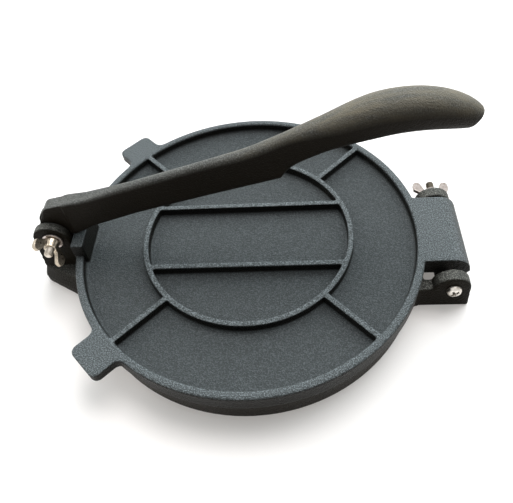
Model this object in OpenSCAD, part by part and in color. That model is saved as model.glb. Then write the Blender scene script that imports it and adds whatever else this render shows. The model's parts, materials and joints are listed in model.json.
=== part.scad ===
// Hand press for flattening balls of dough: a round cast base, a ribbed top plate hinged to it,
// and a long lever on the other side whose heel bears on a pad of the top plate.
// Millimetres. The origin is the middle of the plates on the table, +X points from the lever's
// pivot to the hinge, +Z is up. The press is drawn closed, with the lever lying over it.

/* [Top plate] */
// Outer diameter of the top plate
plate_d = 260; // [220:1:300]
// Height of the top plate's rim
plate_h = 15.1; // [12:0.1:20]
// Thickness of the top plate's floor
plate_floor = 7.6; // [5:0.1:9]
// Width of the rim
rim_w = 6; // [4:0.5:10]
// Rounding of the outer edges of both plates
edge_r = 1.6; // [0.5:0.1:2.5]
// Radius of the corner between the floor and the rim
floor_fillet = 2.4; // [0.5:0.1:3.5]
// Thickness of the ribs
rib_w = 4; // [2.5:0.1:7]
// How far the tops of the ribs lie below the rim
rib_drop = 0.4; // [0.1:0.1:2]
// Outer diameter of the ring rib
ring_d = 158; // [120:1:180]
// Distance between the middles of the two straight ribs inside the ring
chord_gap = 57; // [30:1:90]
// Number of ribs between the ring and the rim
spokes = 4; // [3:1:8]

/* [Thumb tabs] */
// Width of a tab
tab_w = 29; // [20:0.5:40]
// How far a tab stands out from the rim
tab_out = 19; // [12:0.5:26]
// Thickness of a tab
tab_t = 8; // [5:0.1:10]
// Radius of a tab's outer corners
tab_corner = 5; // [2:0.5:8]
// Radius of the fillets at a tab's root
tab_fillet = 6; // [2:0.5:12]
// Angle of each tab from the lever's side
tab_angle = 45; // [38:1:60]

/* [Pressure pad] */
// Length of the pad along the lever
pad_l = 9.3; // [7:0.1:14]
// Width of the pad across the lever
pad_w = 35; // [20:0.5:40]
// Height of the pad's top over the rim
pad_rise = 11.9; // [8:0.1:13]
// Distance of the pad from the plate's edge
pad_in = 0.7; // [0:0.1:3]

/* [Base] */
// Height of the base
base_h = 22.2; // [20:0.1:26]
// How far the base's upper edge lies inside the top plate's
base_inset = 1.5; // [0.5:0.1:4]
// How far the base's wall leans in down to the table
base_draft = 1.7; // [0:0.1:3]
// Thickness of the base's floor
base_floor = 7; // [5:0.1:10]
// Thickness of the base's skirt
skirt_w = 6; // [4:0.5:10]
// Gap between the closed plates
seam = 0.3; // [0.1:0.1:0.6]

/* [Hinge] */
// Distance of the hinge axis outside the plate's rim
hinge_out = 16.6; // [15:0.1:22]
// Depth of the hinge axis below the top plate's top
hinge_drop = 16.9; // [15:0.1:18]
// Width of the top plate's tongue
tongue_w = 60.2; // [40:0.5:80]
// How far the tongue stands past the hinge axis
tongue_past = 13.2; // [11:0.1:14]
// Radius of the tongue's upper corner
tongue_corner = 14; // [8:0.5:15]
// Radius of the barrel under the tongue
barrel_r = 11; // [7:0.1:11.5]
// Gap between the tongue and each ear
ear_gap = 4.9; // [0.5:0.1:8]
// Thickness of a hinge ear
ear_t = 8.7; // [6:0.1:12]
// Radius of a hinge ear's round end
ear_r = 13.2; // [9:0.1:14]
// How far that round end lies inside the hinge axis
ear_back = 1.3; // [0:0.1:3]
// How much a hinge ear's end leans out down to the table
ear_lean = 2.1; // [0:0.1:4]
// Depth of the top of the arm that joins an ear to the base, below the base's top
arm_low_drop = 0.3; // [0:0.1:8]
// Radius of the fillet between that arm and the base
arm_low_fillet = 12; // [5:0.5:20]
// How far the bay between the ears reaches into the base's wall
bay_in = 1.5; // [0.5:0.1:4]
// Thickness of the web between the ears' outer ends, which stops the opening plate
web_t = 6.2; // [3:0.1:6.4]
// How far that web starts inside the hinge axis
web_in = 4; // [0:0.1:5]

/* [Lever bracket] */
// Distance of the lever's pivot outside the plate's rim
pivot_out = 12.5; // [12.4:0.1:16]
// Height of the lever's pivot over the top plate
pivot_rise = 13.4; // [13.2:0.1:18]
// Radius of a bracket ear's round end
cheek_r = 13.2; // [9:0.1:13.2]
// How far that round end lies outside the pivot
cheek_back = 1.2; // [1.1:0.1:3]
// Thickness of a bracket ear
cheek_t = 6.7; // [4:0.1:9]
// How much the bracket's outer edge leans out down to its foot
cheek_lean = 3.7; // [0:0.1:5]
// Height of the bracket's flared foot, where the slot ends
foot_h = 20; // [14:0.1:20]
// How far the foot reaches past the plate's rim
foot_reach = 35; // [34:0.1:40]
// Half width of the foot at its outer end
foot_end_w = 13.5; // [12.5:0.1:16]
// Half width of the foot where it meets the base
foot_root_w = 37; // [30:0.5:45]
// Height up to which the foot's outer end is upright
foot_kerb = 8; // [2:0.5:14]
// Distance past the plate's rim where the foot's sides bend
foot_bend = 10; // [6:0.5:14]
// Half width of the foot at that bend, on the table
foot_bend_w = 26; // [20:0.5:30]
// Half width of the foot's top at that bend
foot_top_w = 19; // [15:0.5:22]
// Radius of the foot's outer corners
foot_corner = 3; // [1:0.5:6]

/* [Lever] */
// Reach of the lever from its pivot to the tip of the grip, before the tip's blunt cut
lever_l = 291; // [260:0.5:330]
// Length of the flat arm from the pivot to the grip
arm_l = 170.5; // [150:0.5:185]
// Angle at which the arm rises from the bracket, in degrees
arm_rise = 16.6; // [14:0.1:20]
// Height of the arm's middle over the pivot at the bracket
arm_root_z = 14.7; // [14.5:0.1:18]
// Depth of the arm at the bracket
arm_root_h = 26.1; // [22:0.1:28]
// Depth of the arm at the grip
arm_end_h = 29.8; // [24:0.1:34]
// Thickness of the arm at its slimmest
arm_t = 8.6; // [6:0.1:12]
// Thickness of the arm at the bracket
root_t = 12; // [8:0.1:14]
// Distance of the arm's square end from the pivot
root_x = 15.2; // [14.8:0.1:18]
// Thickness of the knuckle between the bracket ears
knuckle_t = 10; // [7:0.1:12]
// Radius of the knuckle round the pivot
knuckle_r = 12; // [8:0.1:12]
// Largest diameter of the grip
grip_d = 26; // [22:0.1:32]
// Height of the grip's crest over the place where it starts
grip_rise = 30.8; // [20:0.5:40]
// Place of the crest along the grip, as a share of its length
grip_crest = 0.68; // [0.55:0.01:0.8]
// Slimness of the grip's neck, as a share of its largest diameter
grip_neck = 0.81; // [0.6:0.01:1]
// Depth of the chin where the arm's underside ends and the grip starts
chin = 6; // [0:0.5:9]
// Depth of the grip's axis below its top where the grip starts
neck_depth = 14.6; // [11:0.1:17]
// Height by which the arm's top sweeps up into the grip
sweep_rise = 3.2; // [0:0.1:5]
// Length of that sweep along the arm
sweep_l = 26; // [15:1:40]
// Extra height of the grip's top where it starts
nape = 2.3; // [0:0.1:4]
// Extra height of the arm's top over the bracket
crown = 2.1; // [0:0.1:4]
// Radius of the upper corner of the arm's square end
end_corner = 8; // [4:0.5:10]
// Depth of the blunt cut at the grip's tip
tip_cut = 7.2; // [0:0.1:9]
// Lean of that cut, in degrees
tip_lean = 40; // [0:1:45]
// Length of the arm over which its thickness changes at either end
arm_blend = 60; // [40:1:70]
// Length of the arm over which its heel runs out
heel_blend = 20; // [12:1:30]
// How far the heel starts past the knuckle's round
heel_past = 0.6; // [0.2:0.1:1.5]
// Gap between the lever's heel and the pad
heel_gap = 0.3; // [0.1:0.1:0.6]

/* [Hardware] */
// Shank diameter of the two bolts
bolt_d = 6; // [5:0.5:8]
// Running clearance between a bolt and its bores, on the radius
bolt_play = 0.07; // [0.03:0.01:0.1]
// Diameter of a bolt's head
head_d = 10.5; // [9:0.1:13]
// Height of a bolt's head
head_h = 3.8; // [2.5:0.1:5]
// Width of the crossed recess in a bolt's head
recess_w = 1.4; // [1:0.1:2]
// Depth of that recess
recess_h = 1.8; // [1:0.1:2.4]
// Outer diameter of the hinge washer
hinge_washer_d = 12; // [10:0.1:16]
// Outer diameter of the lever washer
lever_washer_d = 15; // [12:0.1:18]
// Thickness of the washers
washer_t = 1.4; // [0.8:0.1:2.5]
// Clearance between a bolt and its washer, on the radius
washer_play = 0.2; // [0.1:0.05:0.4]
// How far the wing nuts' hubs reach along the bolt
hub_h = 6.6; // [5:0.1:9]
// Diameter of a wing nut's hub
hub_d = 11; // [9.5:0.1:14]
// Span of the wings
wing_span = 28; // [22:0.5:34]
// Height of the wings over the nut's seat
wing_h = 14.5; // [11:0.1:18]
// Thickness of the wings
wing_t = 3; // [2:0.1:4.5]
// Radius of the wings' round tips
wing_r = 3.2; // [2:0.1:5]
// How far the hinge bolt's end shows past its nut's hub
hinge_thread_out = 8; // [2:0.1:12]
// How far the lever bolt's end shows past its nut's hub
lever_thread_out = 6; // [2:0.1:10]
// Turn of the hinge's wing nut round its bolt, in degrees
hinge_wing_turn = 3; // [0:1:179]
// Turn of the lever's wing nut round its bolt, in degrees
lever_wing_turn = 115; // [0:1:179]
// Side clearance of the knuckle in the bracket, and of the nuts on their washers
side_play = 0.3; // [0.1:0.05:0.8]

/* [Hidden] */
$fn = 128;
iron = [0.16, 0.17, 0.18];
zinc = [0.78, 0.78, 0.76];
// Extra length of a cut past a face, and the sinking of one feature in another
eps = 1;
// How far the wings' roots lie inside the hub, past the bolt's bore
wing_sunk = 0.5;
plate_r = plate_d / 2;
plate_z = base_h + seam;
plate_top = plate_z + plate_h;
plate_floor_z = plate_z + plate_floor;
rib_top = plate_top - rib_drop;
base_r = plate_r - base_inset;
base_foot_r = base_r - base_draft;
bore_r = bolt_d / 2 + bolt_play;
hinge_x = plate_r + hinge_out;
hinge_z = plate_top - hinge_drop;
ear_in = tongue_w / 2 + ear_gap;
ear_out = ear_in + ear_t;
pivot_x = -plate_r - pivot_out;
pivot_z = plate_top + pivot_rise;
cheek_in = knuckle_t / 2 + side_play;
cheek_out = cheek_in + cheek_t;
pad_top = plate_top + pad_rise;
heel_z = pad_top + heel_gap - pivot_z;
grip_l = lever_l - arm_l;
pad_x = -plate_r + pad_in;
heel_x = knuckle_r + heel_past;

// Points of an arc, from one angle to another
function arc(x, y, r, from, to, n = 6) =
    [for (i = [0 : n]) let (a = from + (to - from) * i / n) [x + r * cos(a), y + r * sin(a)]];

function mirrored(points) =
    [for (i = [len(points) - 1 : -1 : 0]) [points[i][0], -points[i][1]]];

function clamp01(t) = min(1, max(0, t));
function ease(t) = let (c = clamp01(t)) c * c * (3 - 2 * c);
function mix(a, b, t) = a + (b - a) * t;

// Half of a lug's plan on a disc of radius r: a concave fillet, a straight side and a round corner
function lug_side(r, w, reach, corner, fillet) =
    let (cy = w / 2 + fillet, cx = sqrt(pow(r + fillet - 0.3, 2) - cy * cy))
    concat(
        [[r * 0.9 * cx / (r + fillet), w / 2 - eps]],
        arc(cx, cy, fillet, 180 + atan2(cy, cx), 270),
        arc(reach - corner, w / 2 - corner, corner, 90, 0));

// Plan of a lug that points along +X
module lug(r, w, reach, corner, fillet) {
    side = lug_side(r, w, reach, corner, fillet);
    polygon(concat(side, mirrored(side)));
}

// Extrudes an outline drawn in X and Z across the press, from y0 to y1
module across(y0, y1) {
    translate([0, y1, 0]) rotate([90, 0, 0]) linear_extrude(y1 - y0) children();
}

// A bore or shank across the press through a point in X and Z
module bore_across(x, z, r, y0, y1) {
    translate([x, y1, z]) rotate([90, 0, 0]) cylinder(r = r, h = y1 - y0);
}

// Profile of the top plate from its middle to its rim
module plate_profile() {
    inner = plate_r - rim_w;
    fillet_x = inner - floor_fillet;
    fillet_y = plate_floor_z + floor_fillet;
    polygon(concat(
        [[0, plate_z]],
        arc(plate_r - edge_r, plate_z + edge_r, edge_r, 270, 360, 3),
        arc(plate_r - edge_r, plate_top - edge_r, edge_r, 0, 90, 4),
        arc(inner + edge_r, plate_top - edge_r, edge_r, 90, 180, 3),
        arc(fillet_x, fillet_y, floor_fillet, 360, 270, 3),
        [[0, plate_floor_z]]));
}

// One straight rib along X at a distance y from the middle, from x0 to x1
module rib(x0, x1, y) {
    translate([x0, y - rib_w / 2, plate_floor_z - eps])
        cube([x1 - x0, rib_w, rib_top - plate_floor_z + eps]);
}

module ribs() {
    ring_in = ring_d / 2 - rib_w;
    translate([0, 0, plate_floor_z - eps]) difference() {
        cylinder(d = ring_d, h = rib_top - plate_floor_z + eps);
        translate([0, 0, -eps]) cylinder(r = ring_in, h = plate_h + 2 * eps);
    }
    chord = sqrt(pow(ring_in, 2) - pow(chord_gap / 2 + rib_w / 2, 2)) + rib_w / 2;
    for (s = [-1, 1]) rib(-chord, chord, s * chord_gap / 2);
    for (i = [0 : spokes - 1])
        rotate([0, 0, (i + 0.5) * 360 / spokes])
            rib(ring_d / 2 - rib_w / 2, plate_r - rim_w + edge_r, 0);
}

// The tongue that reaches over the hinge axis, with the barrel under it
module tongue_profile() {
    inner = plate_r - rim_w + edge_r;
    corner_x = hinge_x + tongue_past - tongue_corner;
    corner_z = plate_top - tongue_corner;
    polygon([
        [inner, plate_z], [inner, plate_top], [corner_x, plate_top],
        [hinge_x + tongue_past, corner_z], [hinge_x + barrel_r, hinge_z],
        [hinge_x - barrel_r, hinge_z], [hinge_x - barrel_r, plate_z]]);
    translate([hinge_x, hinge_z]) circle(barrel_r);
    translate([corner_x, corner_z]) intersection() {
        circle(tongue_corner);
        square(tongue_corner + eps);
    }
}

// The two thumb tabs, which end inside the rim
module tabs() {
    difference() {
        for (s = [-1, 1])
            rotate([0, 0, 180 + s * tab_angle]) translate([0, 0, plate_top - tab_t])
                linear_extrude(tab_t)
                    lug(plate_r, tab_w, plate_r + tab_out, tab_corner, tab_fillet);
        translate([0, 0, plate_z]) cylinder(r = plate_r - rim_w + edge_r, h = plate_h + eps);
    }
}

module top_plate() {
    color(iron) difference() {
        union() {
            rotate_extrude() plate_profile();
            ribs();
            tabs();
            across(-tongue_w / 2, tongue_w / 2) tongue_profile();
            translate([pad_x, -pad_w / 2, plate_floor_z - eps])
                cube([pad_l, pad_w, pad_top - plate_floor_z + eps]);
        }
        bore_across(hinge_x, hinge_z, bore_r, -ear_out, ear_out);
    }
}

// Profile of the hollow base from its middle to its skirt
module base_profile() {
    wall_in = base_foot_r - skirt_w;
    roof = base_h - base_floor;
    polygon(concat(
        [[0, roof]],
        arc(wall_in - floor_fillet, roof - floor_fillet, floor_fillet, 90, 0, 3),
        [[wall_in, 0]],
        arc(base_foot_r - edge_r, edge_r, edge_r, 270, 360, 3),
        arc(base_r - edge_r, base_h - edge_r, edge_r, 0, 90, 3),
        [[0, base_h]]));
}

// Outline of a hinge ear: round at the top, its end leaning out down to the table
module hinge_ear_profile() {
    mid = hinge_x - ear_back;
    polygon([
        [mid - ear_r, 0], [mid + ear_r + ear_lean, 0],
        [mid + ear_r, hinge_z], [mid - ear_r, hinge_z]]);
    translate([mid, hinge_z]) circle(ear_r);
}

// The ears on their low arms, the open bay between them and the web across its outer end
module hinge_lugs() {
    difference() {
        linear_extrude(base_h - arm_low_drop)
            lug(base_foot_r, 2 * ear_out, hinge_x - ear_back + ear_r, edge_r, arm_low_fillet);
        translate([base_r - bay_in, -ear_in, web_t]) cube([plate_r, 2 * ear_in, base_h]);
        translate([base_r - bay_in, -ear_in, -eps])
            cube([hinge_x - web_in - base_r + bay_in, 2 * ear_in, base_h]);
        translate([0, 0, -eps]) cylinder(r = base_foot_r - skirt_w / 2, h = base_h + 2 * eps);
    }
    for (s = [-1, 1])
        across(s * (ear_in + ear_t / 2) - ear_t / 2, s * (ear_in + ear_t / 2) + ear_t / 2)
            hinge_ear_profile();
}

// Plan of the bracket's foot: its reach past the rim and its half widths, from the end inwards
module foot_plan(reach, end_w, bend_w, root_w) {
    waist = 0.3;
    side = concat(
        [[-sqrt(pow(base_foot_r - skirt_w / 2, 2) - pow(foot_root_w, 2)), -root_w]],
        [[-plate_r - foot_bend, -bend_w]],
        [[-plate_r - reach + foot_bend, -mix(end_w, bend_w, waist)]],
        arc(foot_corner - plate_r - reach, foot_corner - end_w, foot_corner, 270, 180, 3));
    polygon(concat(side, mirrored(side)));
}

// Outline of the bracket's ears from the foot to over the pivot
module cheek_profile() {
    mid = pivot_x - cheek_back;
    polygon([
        [mid - cheek_r - cheek_lean, foot_h - eps], [mid + cheek_r, foot_h - eps],
        [mid + cheek_r, pivot_z], [mid - cheek_r, pivot_z]]);
    translate([mid, pivot_z]) circle(cheek_r);
}

module lever_bracket() {
    top_reach = cheek_r + cheek_lean + cheek_back + pivot_out;
    top_taper = 5;
    difference() {
        hull() {
            linear_extrude(foot_kerb) foot_plan(foot_reach, foot_end_w, foot_bend_w, foot_root_w);
            translate([0, 0, foot_h - edge_r]) linear_extrude(edge_r)
                foot_plan(top_reach, cheek_out, foot_top_w, foot_root_w - top_taper);
        }
        translate([0, 0, -eps]) cylinder(r = base_foot_r - skirt_w / 2, h = base_h + 2 * eps);
    }
    difference() {
        across(-cheek_out, cheek_out) cheek_profile();
        translate([pivot_x - 3 * cheek_r, -cheek_in, foot_h])
            cube([6 * cheek_r, 2 * cheek_in, pivot_z]);
    }
}

module base() {
    color(iron) difference() {
        union() {
            rotate_extrude() base_profile();
            hinge_lugs();
            lever_bracket();
        }
        bore_across(hinge_x, hinge_z, bore_r, -ear_out - eps, ear_out + eps);
        bore_across(pivot_x, pivot_z, bore_r, -cheek_out - eps, cheek_out + eps);
    }
}

// The lever in its own frame: the pivot is the origin and X runs towards the grip.
// Height of the arm's middle at a distance x, and the arm's depth there
function arm_z(x) = arm_root_z + (x - root_x) * tan(arm_rise);
function arm_h(x) = mix(arm_root_h, arm_end_h, (x - root_x) / (arm_l - root_x));
// Extra height and depth beside the bracket, where the arm is square and its heel meets the pad
function root_share(x) = 1 - ease((x - root_x) / heel_blend);
function heel_drop() = arm_z(root_x) - arm_root_h / 2 - heel_z;
// Extra height where the arm's top sweeps up into the grip
function sweep(x) = sweep_rise * pow(clamp01(1 - (arm_l - x) / sweep_l), 1.5);

// Half thickness of the arm where the grip starts, and the shares of the grip's length over
// which its neck turns round and its chin runs out
neck_half = grip_d * 0.22;
neck_share = 0.35;
chin_share = 0.12;
tip_bluntness = 2.4;

// Place along the grip, from 0 at the arm's end to 1 at the tip
function along_grip(x) = (x - arm_l) / grip_l;
function grip_angle(x) = 90 * along_grip(x) / grip_crest;
function grip_z(x) =
    arm_z(arm_l) + arm_h(arm_l) / 2 + sweep_rise - neck_depth + grip_rise * sin(grip_angle(x));
function grip_slope(x) = atan(grip_rise * 90 / grip_crest / grip_l * PI / 180 * cos(grip_angle(x)));
// Radius of the grip: a slim neck that swells to the middle, and a blunt round tip
function grip_r(t) =
    grip_d / 2 * (t < 0.5 ? mix(grip_neck, 1, ease((t - 0.2) / 0.3))
                          : pow(max(0, 1 - pow(2 * t - 1, tip_bluntness)), 1 / tip_bluntness));

// Section at x: height of its underside and of its top, half thickness and corner radius
function station(x) =
    x <= arm_l
    ? let (
        slim = mix(root_t, arm_t, ease((x - root_x) / arm_blend)) / 2,
        half = mix(slim, neck_half, ease((x - arm_l) / arm_blend + 1)))
      [arm_z(x) - arm_h(x) / 2 - heel_drop() * root_share(x),
       arm_z(x) + arm_h(x) / 2 + crown * root_share(x) + sweep(x),
       half, min(edge_r + (x - root_x) / heel_blend, half)]
    : let (
        t = along_grip(x),
        r = grip_r(t),
        deep = r / cos(grip_slope(x)),
        half = mix(min(r, neck_half), r, ease(t / neck_share)))
      [grip_z(x) - deep - chin * pow(1 - clamp01(t / chin_share), 3),
       grip_z(x) + deep + nape * pow(1 - clamp01(t / neck_share), 2),
       half, half];

// Points of a section: a rectangle with round corners, in the plane at x
function ring(x) =
    let (s = station(x), per = 4, mid = (s[0] + s[1]) / 2, deep = (s[1] - s[0]) / 2,
         c = min(s[3], 0.96 * min(deep, s[2])))
    [for (q = [0 : 3], j = [0 : per])
        let (a = 90 * q + 90 * j / per,
             sy = q == 0 || q == 3 ? 1 : -1,
             sz = q < 2 ? 1 : -1)
        [x, sy * (s[2] - c) + c * cos(a), mid + sz * (deep - c) + c * sin(a)]];

// Places of the sections: even steps on the arm, closer ones towards the tip
arm_steps = 12;
grip_steps = 18;
arm_stations = [for (i = [0 : arm_steps]) mix(root_x, arm_l, i / arm_steps)];
grip_stations = [for (i = [1 : grip_steps]) arm_l + grip_l * 0.998 * sin(90 * i / grip_steps)];

module loft(stations) {
    rings = [for (x = stations) ring(x)];
    count = len(rings[0]);
    last = len(rings) - 1;
    points = [for (r = rings, p = r) p];
    sides = [for (i = [0 : last - 1], j = [0 : count - 1])
        let (k = (j + 1) % count, a = i * count + j, b = i * count + k)
        each [[a, a + count, b + count], [a, b + count, b]]];
    caps = [[for (j = [0 : count - 1]) j],
            [for (j = [count - 1 : -1 : 0]) last * count + j]];
    polyhedron(points, concat(sides, caps));
}

// The knuckle: round the pivot below, and drawn up to the arm's square end
module knuckle_profile() {
    top = station(root_x)[1] - 0.4;
    sunk = 5;
    end_drop = 2.2;
    end_x = knuckle_r * 0.15;
    circle(knuckle_r);
    polygon(concat(
        [[knuckle_r * cos(140), knuckle_r * sin(140)], [0, -knuckle_r / 2]],
        [[heel_x, heel_z], [root_x, heel_z], [root_x + sunk, heel_z + sunk]],
        [[root_x + sunk, top - end_drop], [root_x, top]],
        arc(end_corner - end_x, top - end_drop - end_corner, end_corner, 100, 165, 6)));
}

module lever() {
    color(iron) translate([pivot_x, 0, pivot_z]) difference() {
        union() {
            across(-knuckle_t / 2, knuckle_t / 2) knuckle_profile();
            loft(concat(arm_stations, grip_stations));
        }
        bore_across(0, 0, bore_r, -knuckle_t, knuckle_t);
        translate([lever_l - tip_cut, 0, grip_z(lever_l)]) rotate([0, tip_lean, 0])
            translate([0, -grip_d, -2 * grip_d]) cube([grip_d, 2 * grip_d, 4 * grip_d]);
    }
}

// A pan-headed bolt with a crossed recess. Its head's seat is at the origin, its shank along +Z.
module bolt(length) {
    r = bolt_d / 2;
    chamfer = 0.8;
    crown_d = head_d * 0.62;
    recess_l = head_d * 0.52;
    difference() {
        union() {
            translate([0, 0, -head_h / 2]) cylinder(d = head_d, h = head_h / 2);
            translate([0, 0, -head_h]) cylinder(d1 = crown_d, d2 = head_d, h = head_h / 2);
            translate([0, 0, -eps]) cylinder(r = r, h = length - chamfer + eps);
            translate([0, 0, length - chamfer]) cylinder(r1 = r, r2 = r - chamfer, h = chamfer);
        }
        for (a = [0, 90]) rotate([0, 0, a])
            translate([-recess_l / 2, -recess_w / 2, -head_h - eps])
                cube([recess_l, recess_w, recess_h + eps]);
    }
}

// A flat washer on the XY plane
module washer(outer_d) {
    difference() {
        cylinder(d = outer_d, h = washer_t);
        translate([0, 0, -eps]) cylinder(r = bolt_d / 2 + washer_play, h = washer_t + 2 * eps);
    }
}

// Outline of one wing, out from the hub and up along the bolt
module wing_profile() {
    mid = wing_span / 2 - wing_r;
    sunk_x = bolt_d / 2 + wing_sunk;
    low = hub_h * 0.1;
    high = hub_h * 0.95;
    polygon(concat(
        [[sunk_x, low + wing_sunk], [hub_d * 0.45, low]],
        arc(mid, wing_h - 2 * wing_r, wing_r, -40, 0, 3),
        arc(mid, wing_h - wing_r, wing_r, 0, 150, 8),
        [[hub_d / 2, high], [sunk_x, high - wing_sunk]]));
}

// A wing nut that seats on the XY plane, its wings along X
module wing_nut() {
    difference() {
        union() {
            cylinder(d1 = hub_d, d2 = hub_d * 0.82, h = hub_h);
            for (m = [0, 1]) mirror([m, 0, 0])
                translate([0, wing_t / 2, 0]) rotate([90, 0, 0]) linear_extrude(wing_t)
                    wing_profile();
        }
        translate([0, 0, -eps]) cylinder(r = bore_r, h = wing_h + 2 * eps);
    }
}

// Places hardware on a face across the press: side 1 looks to the back, side -1 to the front
module on_face(x, y, z, side, turn = 0) {
    translate([x, side * y, z]) rotate([-side * 90, 0, 0]) rotate([0, 0, turn]) children();
}

// Length of a bolt through a width, with its washer, its nut and the end that shows
function bolt_length(width, end) = width + washer_t + side_play + hub_h + end;

module hinge_bolt() {
    color(zinc) on_face(hinge_x, -ear_out, hinge_z, 1)
        bolt(bolt_length(2 * ear_out, hinge_thread_out));
}

module hinge_washer() {
    color(zinc) on_face(hinge_x, ear_out, hinge_z, 1) washer(hinge_washer_d);
}

module hinge_wing_nut() {
    color(zinc) on_face(hinge_x, ear_out + washer_t + side_play, hinge_z, 1, hinge_wing_turn)
        wing_nut();
}

module lever_bolt() {
    color(zinc) on_face(pivot_x, -cheek_out, pivot_z, -1)
        bolt(bolt_length(2 * cheek_out, lever_thread_out));
}

module lever_washer() {
    color(zinc) on_face(pivot_x, cheek_out, pivot_z, -1) washer(lever_washer_d);
}

module lever_wing_nut() {
    color(zinc) on_face(pivot_x, cheek_out + washer_t + side_play, pivot_z, -1, lever_wing_turn)
        wing_nut();
}

base();
top_plate();
lever();
hinge_bolt();
hinge_washer();
hinge_wing_nut();
lever_bolt();
lever_washer();
lever_wing_nut();
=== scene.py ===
"""Looks of a cast-iron press for dough: sand-cast iron with soft edges and a seasoned orange-peel
skin, a round worn grip, and zinc-plated bolts with rolled threads. Metres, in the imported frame."""
import json
import math

import bmesh
import bpy
import numpy as np
from mathutils import Matrix, Vector


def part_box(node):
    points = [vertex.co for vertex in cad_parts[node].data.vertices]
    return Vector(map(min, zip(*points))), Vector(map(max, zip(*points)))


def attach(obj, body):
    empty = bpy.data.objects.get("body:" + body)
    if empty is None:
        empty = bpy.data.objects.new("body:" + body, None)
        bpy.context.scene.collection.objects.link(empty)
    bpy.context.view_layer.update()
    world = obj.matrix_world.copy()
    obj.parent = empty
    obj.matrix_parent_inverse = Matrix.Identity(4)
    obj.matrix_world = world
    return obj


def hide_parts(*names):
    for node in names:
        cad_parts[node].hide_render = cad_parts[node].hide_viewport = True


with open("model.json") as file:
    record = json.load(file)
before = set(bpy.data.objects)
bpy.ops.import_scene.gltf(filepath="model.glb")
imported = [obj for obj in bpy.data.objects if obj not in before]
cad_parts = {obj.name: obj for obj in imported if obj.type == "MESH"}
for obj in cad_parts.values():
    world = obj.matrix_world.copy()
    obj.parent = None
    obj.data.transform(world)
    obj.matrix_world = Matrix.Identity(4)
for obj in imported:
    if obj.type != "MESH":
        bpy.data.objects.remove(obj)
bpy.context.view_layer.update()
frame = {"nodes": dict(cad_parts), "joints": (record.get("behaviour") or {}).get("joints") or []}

MM = 0.001
IMAGE_W = 513
QUARTER_TURN = math.radians(90)
joints = {joint["name"]: joint for joint in frame["joints"]}
pivot = Vector(joints["lever_lift"]["pos_m"])
hinge = Vector(joints["plate_open"]["pos_m"])


# The camera of the photograph

def photo_camera():
    """The fitted camera: its place, its line of sight, its right-hand side and its focal length."""
    place = Vector((0.03767, -0.25225, 0.34898))
    sight = Vector((-0.07742, 0.60007, -0.79619)).normalized()
    right = Vector((0.99659, 0.02374, -0.07901)).normalized()
    focal_px = 535.47
    upper = right.cross(sight)
    data = bpy.data.cameras.new("photo_camera")
    data.sensor_fit = "HORIZONTAL"
    data.lens = data.sensor_width * focal_px / IMAGE_W
    data.clip_start = 10 * MM
    camera = bpy.data.objects.new("photo_camera", data)
    turn = Matrix((right, upper, -sight)).transposed().to_4x4()
    camera.matrix_world = Matrix.Translation(place) @ turn
    bpy.context.scene.collection.objects.link(camera)
    bpy.context.scene.camera = camera


# Nodes

def opaque(colour):
    """A plain colour with its alpha. A socket stays as it is."""
    return (*colour, 1.0) if isinstance(colour, tuple) else colour


class Nodes:
    """A node tree, with short calls for its nodes. A value is a plain one or another socket."""

    def __init__(self, tree):
        self.nodes = tree.nodes
        self.links = tree.links

    def give(self, socket, value):
        if isinstance(value, bpy.types.NodeSocket):
            self.links.new(value, socket)
        else:
            socket.default_value = value

    def add(self, kind, inputs=(), **settings):
        node = self.nodes.new(kind)
        for key, value in settings.items():
            setattr(node, key, value)
        for socket, value in dict(inputs).items():
            self.give(node.inputs[socket], value)
        return node

    def ramp(self, value, low, high, bottom=0.0, top=1.0, **settings):
        """value from low to high becomes bottom to top, and stays there beyond."""
        inputs = {
            "Value": value,
            "From Min": low,
            "From Max": high,
            "To Min": bottom,
            "To Max": top,
        }
        return self.add("ShaderNodeMapRange", inputs, **settings).outputs["Result"]

    def mix(self, share, first, second, **settings):
        """A colour between two colours, or as the settings say."""
        inputs = {0: share, 6: opaque(first), 7: opaque(second)}
        return self.add("ShaderNodeMix", inputs, data_type="RGBA", **settings).outputs[2]

    def math(self, operation, first, second):
        return self.add("ShaderNodeMath", {0: first, 1: second}, operation=operation).outputs[0]

    def split(self, vector):
        """The X, Y and Z of a vector."""
        return self.add("ShaderNodeSeparateXYZ", {0: vector}).outputs

    def shown(self):
        """1 for the rays that show the white background: the camera's, mirrored and bent ones."""
        rays = self.add("ShaderNodeLightPath").outputs
        mirrored = self.math("MAXIMUM", rays["Is Glossy Ray"], rays["Is Transmission Ray"])
        return self.math("MAXIMUM", rays["Is Camera Ray"], mirrored)


class Shader(Nodes):
    """A material under construction. A point's place and facing are the piece's own, so they stay
    with it when it moves. Noise of scale 1 has grains about unit_grain metres across."""

    unit_grain = 0.6

    def __init__(self, name):
        self.material = bpy.data.materials.new(name)
        self.material.use_nodes = True
        super().__init__(self.material.node_tree)
        self.surface = self.nodes["Principled BSDF"]
        coordinates = self.add("ShaderNodeTexCoord").outputs
        self.place = coordinates["Object"]
        self.facing = coordinates["Normal"]

    def set(self, socket, value):
        self.give(self.surface.inputs[socket], value)

    def noise(self, grain, detail=2.0, roughness=0.5, stretch=None):
        """Noise whose grains are about that many metres across."""
        place = self.place
        if stretch:
            place = self.add("ShaderNodeMapping", {"Vector": place, "Scale": stretch}).outputs[0]
        scale = self.unit_grain / grain
        inputs = {"Vector": place, "Scale": scale, "Detail": detail, "Roughness": roughness}
        return self.add("ShaderNodeTexNoise", inputs).outputs["Fac"]

    def bump(self, height, depth, below=None):
        """A bump of that many metres, on top of another bump."""
        inputs = {"Height": height, "Distance": depth}
        if below:
            inputs["Normal"] = below
        return self.add("ShaderNodeBump", inputs).outputs["Normal"]


# Materials

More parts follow.
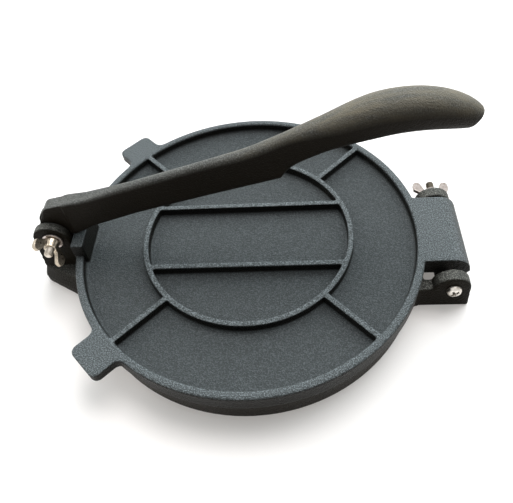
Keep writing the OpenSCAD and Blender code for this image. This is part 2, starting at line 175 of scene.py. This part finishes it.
def cast_iron(name, dark, light, shaded_sides, rough, grain, depth, gloss, worn=None, hollow=None):
    """Seasoned iron: an orange-peel skin with fine grit, and oil that dried a little unevenly.
    dark and light are the grit's colours, light kept pale partly as painted glints and sheen on
    the tops. shaded_sides is painted shade: the darker colour of the faces that don't look up.
    worn is the browner colour of a grip's wear, pale partly as painted sheen on its top, and
    hollow the heights between which a recess, rougher and darker, turns into the top; its darker
    colour is partly painted shade under the rim and partly a less handled skin."""
    crests = (0.45, 0.68)
    looking_up = (0.1, 0.9)
    peel_grain, peel_depth = 2.2 * grain, 0.5 * depth
    swell_grain, swell_depth = 16 * MM, 0.45 * MM
    cloud_grain, cloud_span = 45 * MM, (0.35, 0.65)
    smoother, rougher = rough - 0.03, rough + 0.05
    iron = Shader(name)
    grit = iron.noise(grain, detail=1.0)
    cloud = iron.noise(cloud_grain, detail=3.0, roughness=0.6)
    # The grit's pale crests are partly painted glints and sheen on the tops.
    skin = iron.mix(iron.ramp(grit, *crests), dark, light)
    sheen = iron.ramp(cloud, *cloud_span, smoother, rougher)
    # The grip's worn colour is pale partly as painted sheen on its top.
    if worn:
        skin = iron.mix(wear(iron), skin, worn)
    if hollow:
        # Painted shade under the rim, partly a less handled skin: the recess is darker, with fewer
        # pale crests, and rougher.
        up = iron.split(iron.place)[2]
        recess_shade_tone, recess_crest, recess_rough = 0.8, 0.35, 0.08
        recess_painted_shade = tuple(recess_shade_tone * value for value in dark)
        skin = iron.mix(iron.ramp(up, *hollow), recess_painted_shade, skin)
        skin = iron.mix(iron.ramp(grit, *crests, 0.0, recess_crest), skin, light)
        sheen = iron.math("ADD", sheen, iron.ramp(up, *hollow, recess_rough, 0.0))
    # Painted shade: faces that don't look up take the darker colour of the sides, the tops the lit
    # skin.
    upward = iron.split(iron.facing)[2]
    iron.set("Base Color", iron.mix(iron.ramp(upward, *looking_up), shaded_sides, skin))
    iron.set("Roughness", sheen)
    iron.set("Specular IOR Level", gloss)
    swell = iron.bump(iron.noise(swell_grain, detail=1.0), swell_depth)
    peel = iron.bump(iron.noise(peel_grain, detail=1.0), peel_depth, swell)
    iron.set("Normal", iron.bump(grit, depth, peel))
    return iron.material


def wear(iron):
    """How far hands have worn the lever: streaks along it, which grow towards its grip."""
    arm_x, grip_x = -20 * MM, 60 * MM
    streak_grain, streak_span, along_grip = 2.5 * MM, (0.3, 0.7), (0.12, 1.0, 0.6)
    least, faintest = 0.1, 0.2
    along = iron.split(iron.place)[0]
    streaks = iron.noise(streak_grain, detail=3.0, roughness=0.6, stretch=along_grip)
    growth = iron.ramp(along, arm_x, grip_x, least, 1.0)
    return iron.math("MULTIPLY", growth, iron.ramp(streaks, *streak_span, faintest, 1.0))


def zinc_plate(name, bright, dull, thread=(1.0, 2.0)):
    """Zinc on steel, with duller spots, with painted shade in its creases, and with brown oil in the
    thread, which starts between those places along Y, and nowhere unless they are given."""
    spot_grain, dull_span, rough_span = 1.8 * MM, (0.4, 0.7), (0.3, 0.7)
    crease_w, crease_span = 1.6 * MM, (0.45, 0.85)
    scratch_grain, scratch_depth = 0.5 * MM, 0.02 * MM
    crease_shade, thread_oil = (0.050, 0.040, 0.028), (0.15, 0.130, 0.100)
    smooth, rough = 0.24, 0.42
    zinc = Shader(name)
    spots = zinc.noise(spot_grain, detail=3.0, roughness=0.6)
    skin = zinc.mix(zinc.ramp(spots, *dull_span), bright, dull)
    # Painted shade: darker brown where the piece's own creases close in.
    openness = zinc.add("ShaderNodeAmbientOcclusion", {"Distance": crease_w}, only_local=True)
    skin = zinc.mix(zinc.ramp(openness.outputs["AO"], *crease_span), crease_shade, skin)
    across = zinc.split(zinc.place)[1]
    zinc.set("Base Color", zinc.mix(zinc.ramp(across, *thread), skin, thread_oil))
    zinc.set("Metallic", 1.0)
    zinc.set("Roughness", zinc.ramp(spots, *rough_span, smooth, rough))
    zinc.set("Normal", zinc.bump(zinc.noise(scratch_grain), scratch_depth))
    return zinc.material


# Meshes

def new_piece(name, mesh, material, body):
    """A smooth object from a mesh, riding on a body."""
    piece = bpy.data.objects.new(name, mesh)
    bpy.context.scene.collection.objects.link(piece)
    mesh.materials.clear()
    mesh.materials.append(material)
    mesh.shade_smooth()
    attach(piece, body)
    return piece


def mesh_of(points, faces):
    mesh = bpy.data.meshes.new("form")
    mesh.from_pydata([tuple(point) for point in points], [], faces)
    mesh.update()
    return mesh


def outward(mesh):
    """The mesh with doubled points merged and its faces turned outwards."""
    form = bmesh.new()
    form.from_mesh(mesh)
    bmesh.ops.remove_doubles(form, verts=form.verts, dist=0.001 * MM)
    bmesh.ops.recalc_face_normals(form, faces=form.faces)
    form.to_mesh(mesh)
    form.free()
    return mesh


def baked(mesh, *modifiers):
    """The mesh with modifiers applied, each given as its kind and settings."""
    holder = bpy.data.objects.new("holder", mesh)
    bpy.context.scene.collection.objects.link(holder)
    for kind, settings in modifiers:
        modifier = holder.modifiers.new(kind.lower(), kind)
        for key, value in settings.items():
            setattr(modifier, key, value)
    graph = bpy.context.evaluated_depsgraph_get()
    result = bpy.data.meshes.new_from_object(holder.evaluated_get(graph))
    bpy.data.objects.remove(holder)
    return result


def softened(mesh, voxel, rounds, keep):
    """The mesh with its edges rounded as a casting's are: a fine skin, relaxed a few times, of
    whose faces that share is kept."""
    return baked(
        mesh,
        ("REMESH", {"mode": "VOXEL", "voxel_size": voxel, "adaptivity": 0.0}),
        ("SMOOTH", {"factor": 0.5, "iterations": rounds}),
        ("DECIMATE", {"ratio": keep}),
    )


def joined(*meshes):
    """Several meshes as one."""
    form = bmesh.new()
    for mesh in meshes:
        form.from_mesh(mesh)
    result = bpy.data.meshes.new("joined")
    form.to_mesh(result)
    form.free()
    return result


def slab(outline, width):
    """An outline in X and Z with that width across Y."""
    count = len(outline)
    points = [(x, side * width / 2, z) for side in (-1, 1) for x, z in outline]
    faces = [(i, (i + 1) % count, (i + 1) % count + count, i + count) for i in range(count)]
    faces.append(tuple(reversed(range(count))))
    faces.append(tuple(range(count, 2 * count)))
    return mesh_of(points, faces)


def tube_faces(around, last):
    """Faces between rings 0 to last, of that many points each, and over both ends."""
    faces = [
        (i * around + j, (i + 1) * around + j, (i + 1) * around + k, i * around + k)
        for i in range(last)
        for j in range(around)
        for k in [(j + 1) % around]
    ]
    faces.append(tuple(range(around)))
    faces.append(tuple(last * around + j for j in reversed(range(around))))
    return faces


def casting(name, node, material, body, slot, voxel, rounds, keep):
    """The softened copy of a CAD node, which stands for that node."""
    source = frame["nodes"][node].data.copy()
    piece = new_piece(name, softened(source, voxel, rounds, keep), material, body)
    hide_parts(node)


# The lever

def ease(share):
    share = min(1.0, max(0.0, share))
    return share * share * (3 - 2 * share)


def mix(first, second, share):
    return first + (second - first) * share


class Lever:
    """The lever's form in millimetres from its pivot, with more sections than its solid has."""

    # The arm: where it starts and ends, its slope, its depth at both ends and its thickness
    root_x, root_z = 15.2, 14.7
    arm = 170.5
    rise = math.tan(math.radians(16.6))
    root_h, end_h = 26.1, 29.8
    root_t, slim = 12.0, 8.6
    arm_blend = 60.0
    edge_r = 1.6

    # The knuckle, and the heel that bears on the pad's top, below the pivot
    knuckle_r, knuckle_t = 12.0, 10.0
    pad_z, pivot_z = 49.8, 51.0
    heel_z = pad_z - pivot_z
    heel_blend = 20.0
    crown = 2.1

    # The grip: where it ends, its diameter, its climb to a crest at a share of its length, and how
    # far its start is narrowed, how narrow at least, and over what shares of its length
    reach = 291.0
    grip_d, grip_rise, crest = 26.0, 30.8, 0.68
    neck, neck_t = 0.81, 0.22
    neck_from, neck_l = 0.2, 0.3
    neck_depth, neck_share = 14.6, 0.35
    nape = 2.3
    chin, chin_share = 6.0, 0.12
    sweep_rise, sweep_l, sweep_power = 3.2, 26.0, 1.5
    blunt = 2.4
    tip_cut, tip_lean = 7.2, math.radians(40)

    # How finely it is drawn
    arm_sections, grip_sections, corner_steps = 90, 80, 10
    fullest_corner, last_section = 0.96, 0.998

    def middle(self, x):
        return self.root_z + (x - self.root_x) * self.rise

    def depth(self, x):
        return mix(self.root_h, self.end_h, (x - self.root_x) / (self.arm - self.root_x))

    def grip_z(self, x):
        """Height of the grip's middle line."""
        angle = QUARTER_TURN * (x - self.arm) / (self.reach - self.arm) / self.crest
        start = self.middle(self.arm) + self.depth(self.arm) / 2 + self.sweep_rise
        return start - self.neck_depth + self.grip_rise * math.sin(angle)

    def grip_slope(self, x):
        return math.atan(self.grip_z(x + 0.5) - self.grip_z(x - 0.5))

    def grip_r(self, share):
        """The grip's radius at a share of its length."""
        if share < 0.5:
            return self.grip_d / 2 * mix(self.neck, 1, ease((share - self.neck_from) / self.neck_l))
        round_end = max(0.0, 1 - (2 * share - 1) ** self.blunt)
        return self.grip_d / 2 * round_end ** (1 / self.blunt)

    def station(self, x):
        """Underside, top, half thickness and corner radius of the section at x."""
        return self.arm_station(x) if x <= self.arm else self.grip_station(x)

    def arm_station(self, x):
        root = 1 - ease((x - self.root_x) / self.heel_blend)
        heel_drop = self.middle(self.root_x) - self.root_h / 2 - self.heel_z
        sweep = max(0.0, 1 - (self.arm - x) / self.sweep_l) ** self.sweep_power * self.sweep_rise
        slim = mix(self.root_t, self.slim, ease((x - self.root_x) / self.arm_blend)) / 2
        neck_half = self.grip_d * self.neck_t
        half = mix(slim, neck_half, ease((x - self.arm) / self.arm_blend + 1))
        low = self.middle(x) - self.depth(x) / 2 - heel_drop * root
        high = self.middle(x) + self.depth(x) / 2 + self.crown * root + sweep
        return low, high, half, min(self.edge_r + (x - self.root_x) / self.heel_blend, half)

    def grip_station(self, x):
        share = (x - self.arm) / (self.reach - self.arm)
        radius = self.grip_r(share)
        deep = radius / math.cos(self.grip_slope(x))
        neck_half = self.grip_d * self.neck_t
        half = mix(min(radius, neck_half), radius, ease(share / self.neck_share))
        low = self.grip_z(x) - deep - self.chin * (1 - min(1, share / self.chin_share)) ** 3
        high = self.grip_z(x) + deep + self.nape * (1 - min(1, share / self.neck_share)) ** 2
        return low, high, half, half

    def ring(self, x):
        """The points around the section at x, a rectangle with round corners."""
        low, high, half, corner = self.station(x)
        mid, deep = (low + high) / 2, (high - low) / 2
        corner = min(corner, self.fullest_corner * min(deep, half))
        points = []
        for quarter in range(4):
            side = 1 if quarter in (0, 3) else -1
            up = 1 if quarter < 2 else -1
            for step in range(self.corner_steps + 1):
                angle = QUARTER_TURN * (quarter + step / self.corner_steps)
                points.append((
                    x,
                    side * (half - corner) + corner * math.cos(angle),
                    mid + up * (deep - corner) + corner * math.sin(angle),
                ))
        return points

    def sections(self):
        """Where along X the rings are: evenly on the arm, and closer towards the grip's end."""
        count = self.arm_sections
        arm = [mix(self.root_x, self.arm, i / count) for i in range(count + 1)]
        length = (self.reach - self.arm) * self.last_section
        count = self.grip_sections
        grip = [self.arm + length * math.sin(QUARTER_TURN * i / count) for i in range(1, count + 1)]
        return arm + grip

    def shaft(self):
        rings = [self.ring(x) for x in self.sections()]
        points = [point for ring in rings for point in ring]
        return mesh_of(points, tube_faces(len(rings[0]), len(rings) - 1))

    def knuckle(self):
        """The round end with its heel in front, its crown above and a round corner behind."""
        below_arm, end_drop, sunk = 0.4, 2.2, 5.0
        heel_x, corner, behind = 12.6, 8.0, self.knuckle_r * 0.15
        round_angles = np.radians(np.linspace(140, 345, 40))
        corner_angles = np.radians(np.linspace(100, 165, 6))
        top = self.station(self.root_x)[1] - below_arm
        inner_x, inner_z = self.root_x + sunk, self.heel_z + sunk
        round_part = [
            (self.knuckle_r * math.cos(angle), self.knuckle_r * math.sin(angle))
            for angle in round_angles
        ]
        heel = [(heel_x, self.heel_z), (self.root_x, self.heel_z), (inner_x, inner_z)]
        crown = [(inner_x, top - end_drop), (self.root_x, top)]
        back = [
            (
                corner * (1 + math.cos(angle)) - behind,
                top - end_drop - corner * (1 - math.sin(angle)),
            )
            for angle in corner_angles
        ]
        return slab(round_part + heel + crown + back, self.knuckle_t)

    def cut_tip(self, mesh):
        """Cut the grip's end off at its slant, and close it."""
        form = bmesh.new()
        form.from_mesh(mesh)
        place = Vector((self.reach - self.tip_cut, 0, self.grip_z(self.reach)))
        outwards = Vector((math.cos(self.tip_lean), 0, -math.sin(self.tip_lean)))
        cut = bmesh.ops.bisect_plane(
            form,
            geom=form.verts[:] + form.edges[:] + form.faces[:],
            plane_co=place,
            plane_no=outwards,
            clear_outer=True,
        )
        edges = [part for part in cut["geom_cut"] if isinstance(part, bmesh.types.BMEdge)]
        bmesh.ops.holes_fill(form, edges=edges)
        form.to_mesh(mesh)
        form.free()

    def mesh(self):
        """The whole form in metres, in its place."""
        form = joined(self.shaft(), self.knuckle())
        self.cut_tip(form)
        form.transform(Matrix.Translation(pivot) @ Matrix.Scale(MM, 4))
        return form


# Bolts

class Bolt:
    """A pan-headed bolt with a crossed recess and a rolled thread, in the place of its node.
    It lies along Y through axis, and its thread's end faces that way along Y."""

    head_r, head_h = 5.25 * MM, 3.8 * MM
    shank_r, root_r, pitch = 3.0 * MM, 2.62 * MM, 1.0 * MM
    thread_l, taper_l = 17 * MM, 0.8 * MM
    around, rings_per_turn = 48, 10
    ridge_slope = 1.45
    sharp = math.radians(42)

    # The head from its middle to its edge, in shares of its radius and height
    dome = ((0.0, 0.0), (0.35, 0.004), (0.62, 0.05), (0.8, 0.18), (0.93, 0.42), (1.0, 0.72))
    rim = ((1.0, 0.96), (0.96, 1.0))

    # The recess: two blades' turns, and each blade's half length and width, depth and overlap
    blade_turns = (math.radians(38), math.radians(128))
    blade_l, blade_w, blade_deep, blade_over = 3.2 * MM, 0.95 * MM, 2.2 * MM, 0.6 * MM
    blade_top, blade_bottom = 1.15, 0.55
    narrowest = 0.4

    def __init__(self, node, axis, facing):
        low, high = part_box(node)
        start, end = (low.y, high.y) if facing > 0 else (high.y, low.y)
        self.length = abs(end - start)
        self.start = start
        self.axis = axis
        self.facing = facing

    def rings(self):
        """Each ring's radius, its distance from the head's top, and whether it is thread."""
        outline = self.dome + self.rim
        head = [(share * self.head_r, drop * self.head_h, False) for share, drop in outline]
        steps = round(self.thread_l / self.pitch * self.rings_per_turn)
        plain_l = self.length - self.thread_l
        places = [plain_l + self.thread_l * i / steps for i in range(steps + 1)]
        thread = [(self.shank_r, along, True) for along in places]
        return head + [(self.shank_r, self.head_h, False)] + thread

    def thread_r(self, along, turn):
        """The thread's radius at a distance from the head's top and a share of a turn."""
        phase = (along / self.pitch - turn) % 1.0
        ridge = min(1.0, self.ridge_slope * abs(2 * phase - 1))
        taper = min(1.0, (self.length - along) / self.taper_l)
        widest = self.shank_r - self.taper_l * (1 - taper)
        return min(mix(self.root_r, self.shank_r, ridge), widest)

    def form(self):
        rings = self.rings()
        points = []
        for radius, along, threaded in rings:
            for j in range(self.around):
                angle = 2 * math.pi * j / self.around
                turn = self.facing * j / self.around
                r = self.thread_r(along, turn) if threaded else radius
                points.append((
                    r * math.cos(angle) + self.axis.x,
                    self.facing * along + self.start,
                    r * math.sin(angle) + self.axis.z,
                ))
        return outward(mesh_of(points, tube_faces(self.around, len(rings) - 1)))

    def blade(self, turn):
        """A blade that cuts one arm of the recess, narrower at the bottom."""
        place = Vector((self.axis.x, self.start, self.axis.z))
        ends = ((-self.blade_over, self.blade_top), (self.blade_deep, self.blade_bottom))
        points = []
        for along, share in ends:
            width = self.blade_w * (self.narrowest + (1 - self.narrowest) * share)
            for u, v in ((-1, -1), (1, -1), (1, 1), (-1, 1)):
                x, z = u * self.blade_l * share, v * width
                points.append(place + Vector((
                    x * math.cos(turn) - z * math.sin(turn),
                    self.facing * along,
                    x * math.sin(turn) + z * math.cos(turn),
                )))
        blade = bpy.data.objects.new("blade", outward(mesh_of(points, tube_faces(4, 1))))
        bpy.context.scene.collection.objects.link(blade)
        return blade

    def mesh(self):
        blades = [self.blade(turn) for turn in self.blade_turns]
        cut = {"operation": "DIFFERENCE", "solver": "MANIFOLD"}
        mesh = baked(self.form(), *[("BOOLEAN", {**cut, "object": blade}) for blade in blades])
        for blade in blades:
            bpy.data.objects.remove(blade)
        return mesh


def bolt(name, node, axis, facing, material):
    """A bolt in the place of its node, with its thread's end facing that way along Y."""
    piece = new_piece(name, Bolt(node, axis, facing).mesh(), material, "base")
    piece.data.set_sharp_from_angle(angle=Bolt.sharp)
    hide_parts(node)


# The stage

def studio_floor():
    """A floor that keeps the shadow: white where it is seen, and dimmer and browner in the light
    that it throws back at the press."""
    size = 12
    thrown_back, seen = (0.26, 0.228, 0.185), (0.74, 0.685, 0.668)
    glow_colour, glow_strength = (1.0, 0.95, 0.90), 0.25
    bpy.ops.mesh.primitive_plane_add(size=size)
    floor = bpy.context.object
    floor.name = "floor"
    paper = Shader("paper")
    shown = paper.shown()
    paper.set("Base Color", paper.mix(shown, thrown_back, seen))
    paper.set("Roughness", 0.9)
    paper.set("Specular IOR Level", 0.0)
    strength = paper.math("MULTIPLY", shown, glow_strength)
    glow = paper.add("ShaderNodeEmission", {"Color": opaque(glow_colour), "Strength": strength})
    both = paper.add("ShaderNodeAddShader", {0: paper.surface.outputs[0], 1: glow.outputs[0]})
    paper.give(paper.nodes["Material Output"].inputs["Surface"], both.outputs[0])
    floor.data.materials.append(paper.material)


def studio_world():
    """A dim room that lights the press by a tall window behind it, a pale ceiling and a bright
    spot at its left. Where it is seen itself, it is plain white. Each light is given by its
    direction, by the cosine of the angle at which it ends, and by its colour."""
    dim, white = (0.045, 0.039, 0.030), (1.0, 1.0, 1.0)
    window = ((0.36, 0.89, 0.30), 0.42, (3.4, 3.9, 4.05))
    ceiling = ((0.10, 0.35, 0.93), 0.20, (0.75, 0.86, 0.90))
    side = ((-0.82, 0.46, 0.38), 0.90, (6.0, 6.3, 6.3))
    world = bpy.data.worlds.new("studio")
    world.use_nodes = True
    sky = Nodes(world.node_tree)
    direction = sky.add("ShaderNodeTexCoord").outputs["Generated"]
    room = dim
    for towards, edge, colour in (window, ceiling, side):
        pair = {0: direction, 1: Vector(towards).normalized()}
        cosine = sky.add("ShaderNodeVectorMath", pair, operation="DOT_PRODUCT").outputs["Value"]
        share = sky.ramp(cosine, edge, 1.0, interpolation_type="SMOOTHSTEP")
        room = sky.mix(share, room, colour, blend_type="ADD")
    sky.give(sky.nodes["Background"].inputs["Color"], sky.mix(sky.shown(), room, white))
    bpy.context.scene.world = world


def key_lamp():
    """A broad soft lamp above and behind the press, aimed at its middle."""
    place = Vector((0.25, 0.38, 1.40))
    data = bpy.data.lights.new("key", "AREA")
    data.shape = "RECTANGLE"
    data.size = 0.9
    data.size_y = 0.7
    data.energy = 11
    light = bpy.data.objects.new("key", data)
    light.location = place
    light.rotation_euler = (-place).to_track_quat("-Z", "Y").to_euler()
    bpy.context.scene.collection.objects.link(light)


photo_camera()
studio_floor()
studio_world()
key_lamp()
bpy.context.scene.view_settings.view_transform = "Standard"

base_iron = cast_iron(
    "base_iron",
    dark=(0.050, 0.048, 0.044),
    light=(0.190, 0.180, 0.160),
    shaded_sides=(0.016, 0.013, 0.009),
    rough=0.40,
    grain=0.48 * MM,
    depth=0.65 * MM,
    gloss=0.035,
)
plate_iron = cast_iron(
    "plate_iron",
    dark=(0.060, 0.064, 0.065),
    light=(0.178, 0.191, 0.197),
    shaded_sides=(0.010, 0.0095, 0.008),
    rough=0.29,
    grain=0.48 * MM,
    depth=0.85 * MM,
    gloss=0.09,
    hollow=(31 * MM, 36 * MM),
)
lever_iron = cast_iron(
    "lever_iron",
    dark=(0.060, 0.059, 0.056),
    light=(0.165, 0.161, 0.153),
    shaded_sides=(0.010, 0.0073, 0.0043),
    rough=0.46,
    grain=0.45 * MM,
    depth=0.45 * MM,
    gloss=0.10,
    worn=(0.168, 0.143, 0.106),
)
hinge_nut_zinc = zinc_plate("hinge_nut_zinc", (0.52, 0.46, 0.43), (0.27, 0.235, 0.21))
# The lever's wing nut is the same zinc as the hinge's, painted lighter: a painted reflection of the
# pale table in front of it.
lever_nut_lit_zinc = zinc_plate("lever_nut_lit_zinc", (0.62, 0.54, 0.43), (0.20, 0.165, 0.12))
hinge_zinc = zinc_plate("hinge_zinc", (0.74, 0.70, 0.64), (0.45, 0.41, 0.36), (40 * MM, 41 * MM))
lever_zinc = zinc_plate("lever_zinc", (0.72, 0.66, 0.58), (0.36, 0.31, 0.25))

# The size of each skin's faces, the rounds that relax it, and the share of its faces kept
base_skin = (0.8 * MM, 4, 0.3)
plate_skin = (0.7 * MM, 4, 0.3)
lever_skin = (0.5 * MM, 3, 0.4)
nut_skin = (0.22 * MM, 5, 0.5)
washer_skin = (0.16 * MM, 2, 0.5)

casting("base_casting", "base", base_iron, "base", "base_iron", *base_skin)
casting("plate_casting", "top_plate", plate_iron, "top_plate", "plate_iron", *plate_skin)
casting("hinge_nut_skin", "hinge_wing_nut", hinge_nut_zinc, "hinge_wing_nut", "zinc", *nut_skin)
casting("lever_nut_skin", "lever_wing_nut", lever_nut_lit_zinc, "lever_wing_nut", "zinc", *nut_skin)
casting("hinge_washer_skin", "hinge_washer", hinge_nut_zinc, "base", "zinc", *washer_skin)
casting("lever_washer_skin", "lever_washer", hinge_nut_zinc, "base", "zinc", *washer_skin)
bolt("hinge_bolt_threaded", "hinge_bolt", hinge, 1, hinge_zinc)
bolt("lever_bolt_threaded", "lever_bolt", pivot, -1, lever_zinc)

lever_mesh = softened(Lever().mesh(), *lever_skin)
lever = new_piece("lever_casting", lever_mesh, lever_iron, "lever")
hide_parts("lever")
